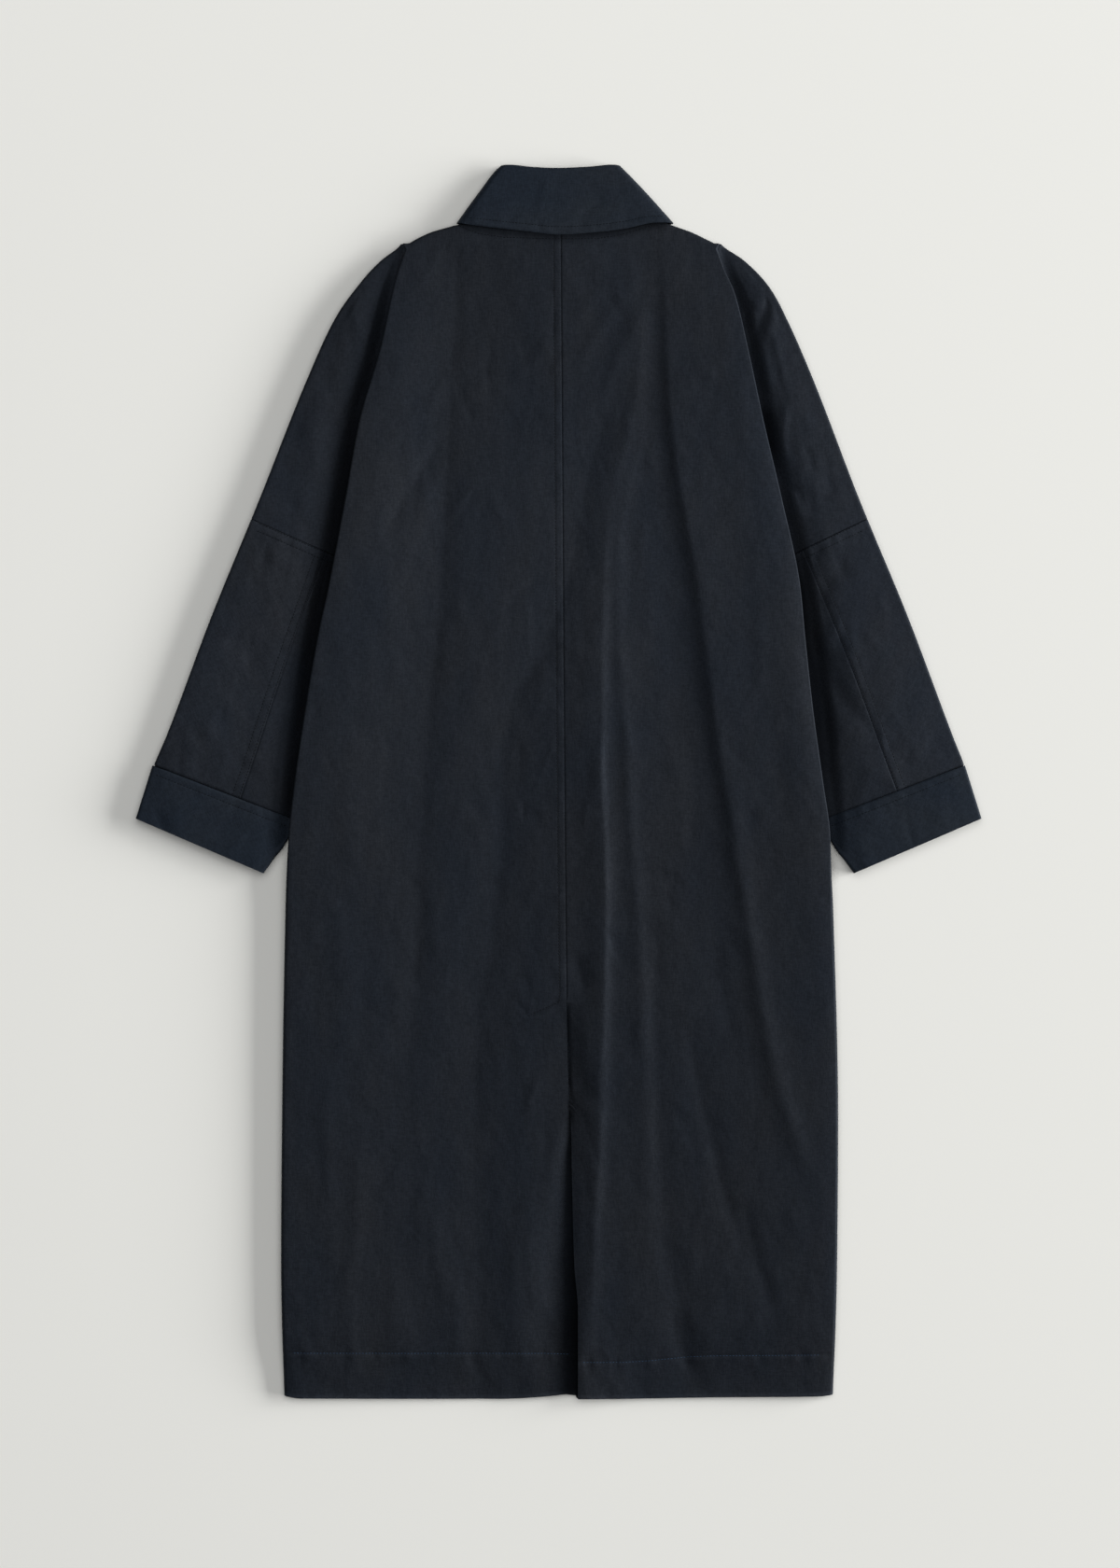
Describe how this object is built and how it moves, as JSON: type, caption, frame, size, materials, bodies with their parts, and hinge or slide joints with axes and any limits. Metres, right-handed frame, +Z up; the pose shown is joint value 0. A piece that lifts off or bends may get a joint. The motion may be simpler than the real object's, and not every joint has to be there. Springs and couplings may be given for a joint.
{
  "type": "oilskin coat",
  "caption": "Long, wide oilskin coat with a turned-down collar, dropped shoulders, deep cuffs and a back vent, laid flat with its back up.",
  "frame": {"origin": "on the surface that the coat lies on, under the middle of its outline", "axes": "+Y from the hem to the collar, +Z up out of the coat's back, +X across to the right sleeve as seen from above"},
  "size_m": [0.8588, 1.2546, 0.0206],
  "materials": {
    "oilskin": "dark navy waxed cotton with a dull, slightly patchy sheen"
  },
  "bodies": {
    "root": {"back_left": "oilskin", "back_right": "oilskin", "front_left": "oilskin", "front_right": "oilskin", "sleeve_outer_left": "oilskin", "sleeve_outer_right": "oilskin", "sleeve_under_left": "oilskin", "sleeve_under_right": "oilskin", "sleeve_front_left": "oilskin", "sleeve_front_right": "oilskin", "cuff_left": "oilskin", "cuff_right": "oilskin", "collar": "oilskin"}
  },
  "joints": []
}
